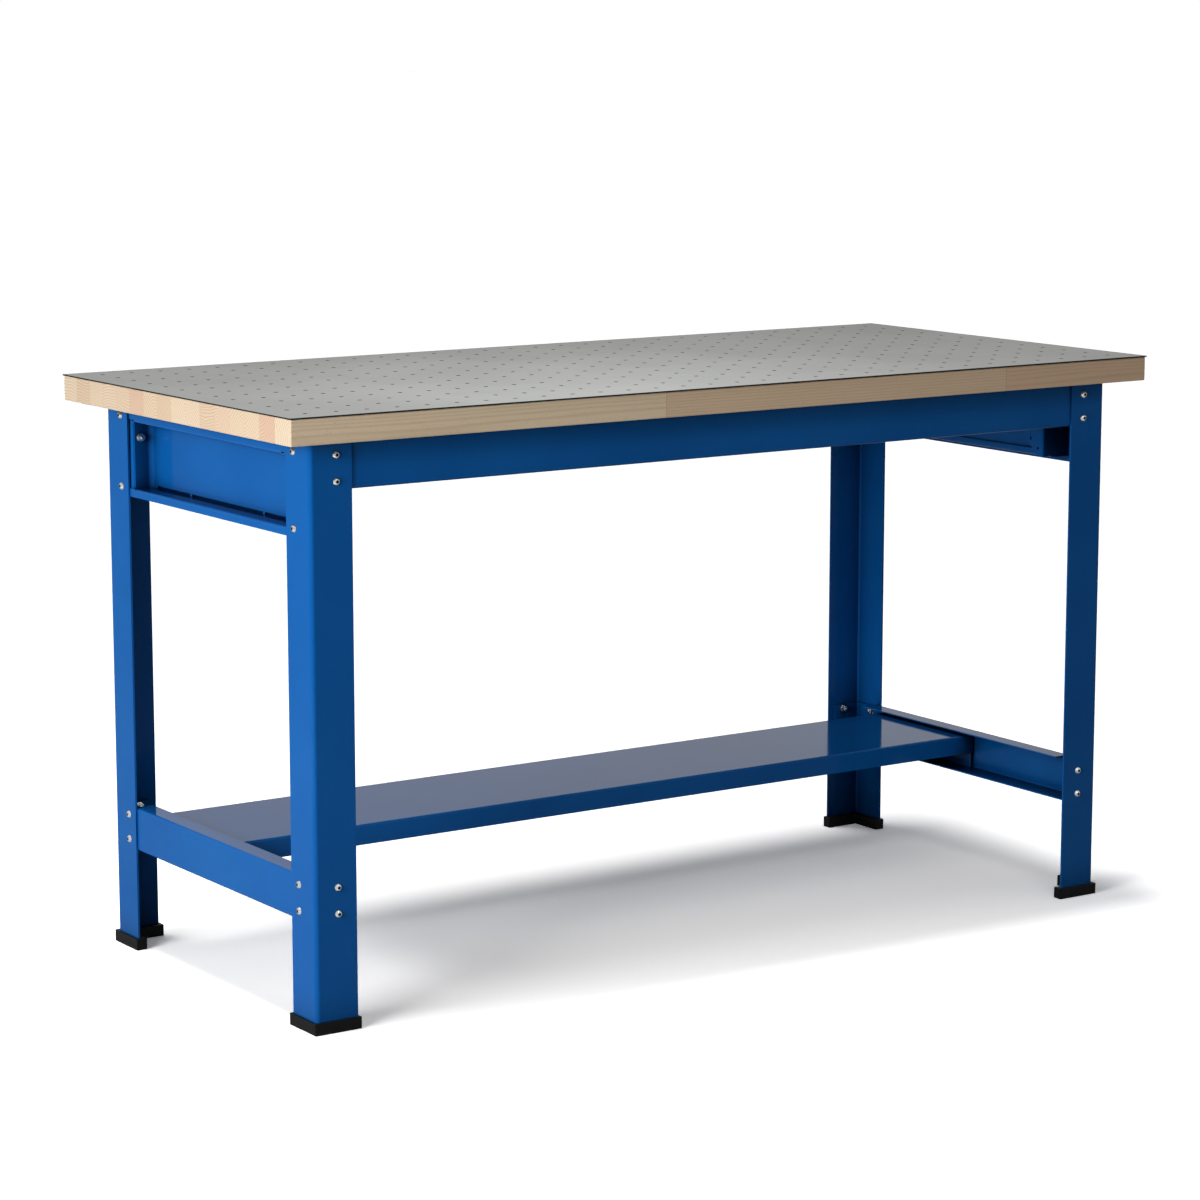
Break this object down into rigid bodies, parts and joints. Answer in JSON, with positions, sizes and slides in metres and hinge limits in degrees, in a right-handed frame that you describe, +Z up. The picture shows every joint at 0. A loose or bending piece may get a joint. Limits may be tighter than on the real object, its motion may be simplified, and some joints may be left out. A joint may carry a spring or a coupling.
{
  "type": "workbench",
  "caption": "Free-standing workbench: wooden top under a perforated steel cover sheet, bolted frame of blue folded steel with angle legs, and a half-depth lower shelf.",
  "frame": {"origin": "on the floor under the middle of the bench", "axes": "+X along the length, to the right when seen from the front; +Y from front to back; +Z up"},
  "size_m": [1.5, 0.68, 0.85],
  "materials": {
    "blue_paint": "gloss",
    "beech": "oiled",
    "cover_steel": "satin",
    "black_plastic": "matt",
    "zinc_steel": "bright zinc"
  },
  "bodies": {
    "root": {"worktop_board": "beech", "cover_sheet": "cover_steel", "shelf": "blue_paint", "front_rail": "blue_paint", "rear_rail": "blue_paint", "left_upper_end_rail": "blue_paint", "right_upper_end_rail": "blue_paint", "left_lower_end_rail": "blue_paint", "right_lower_end_rail": "blue_paint", "front_left_leg": "blue_paint", "front_left_corner_bracket": "blue_paint", "front_left_foot": "black_plastic", "front_right_leg": "blue_paint", "front_right_corner_bracket": "blue_paint", "front_right_foot": "black_plastic", "rear_left_leg": "blue_paint", "rear_left_corner_bracket": "blue_paint", "rear_left_foot": "black_plastic", "rear_right_leg": "blue_paint", "rear_right_corner_bracket": "blue_paint", "rear_right_foot": "black_plastic", "board_screws": "zinc_steel", "rail_bolts": "zinc_steel", "rail_washers": "zinc_steel", "rail_nuts": "zinc_steel", "upper_end_bolts": "zinc_steel", "upper_end_washers": "zinc_steel", "upper_end_nuts": "zinc_steel", "lower_tab_bolts": "zinc_steel", "lower_tab_washers": "zinc_steel", "lower_tab_nuts": "zinc_steel", "lower_end_bolts": "zinc_steel", "lower_end_washers": "zinc_steel", "lower_end_nuts": "zinc_steel", "bracket_bolts": "zinc_steel", "bracket_washers": "zinc_steel", "bracket_nuts": "zinc_steel"}
  },
  "joints": []
}
